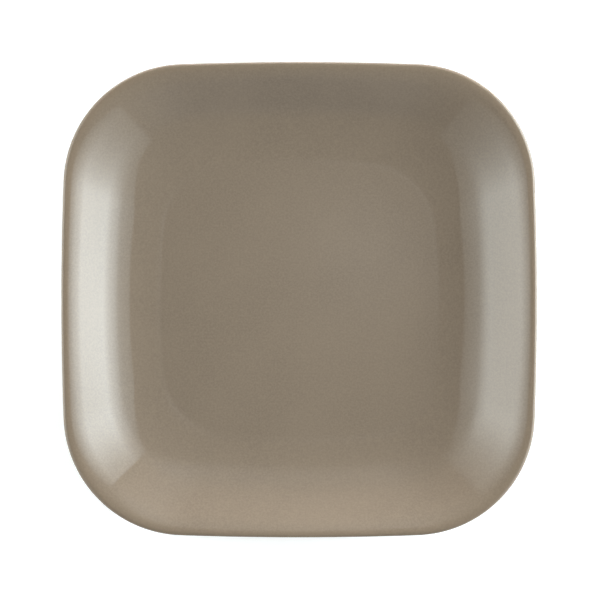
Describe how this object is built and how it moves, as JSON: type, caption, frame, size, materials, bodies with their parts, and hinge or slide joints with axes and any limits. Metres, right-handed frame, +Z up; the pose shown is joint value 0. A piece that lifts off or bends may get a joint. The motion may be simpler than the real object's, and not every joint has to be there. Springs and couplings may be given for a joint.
{
  "type": "square dessert plate",
  "caption": "Square dessert plate with round corners: a flat and rounder well, a wall that sweeps up and rolls over outwards to a rounded lip, and a foot ring to stand on.",
  "frame": {"origin": "middle of the plate, on the surface that its foot ring stands on", "axes": "+Z up, square to the well; +X to the right and +Y to the top of the picture, both square to the sides of the plate"},
  "size_m": [0.2, 0.2, 0.0246],
  "materials": {
    "bare_stoneware": "unglazed fired clay, warm buff, matt and slightly gritty",
    "face_glaze": "glossy taupe glaze with a fine mottle, warmer brown where it runs thin on the lip",
    "back_glaze": "glossy taupe glaze with a fine mottle, on the underside and inside the foot ring"
  },
  "bodies": {
    "root": {"stoneware_body": "bare_stoneware", "face_glaze": "face_glaze", "back_glaze": "back_glaze", "base_glaze": "back_glaze"}
  },
  "joints": []
}
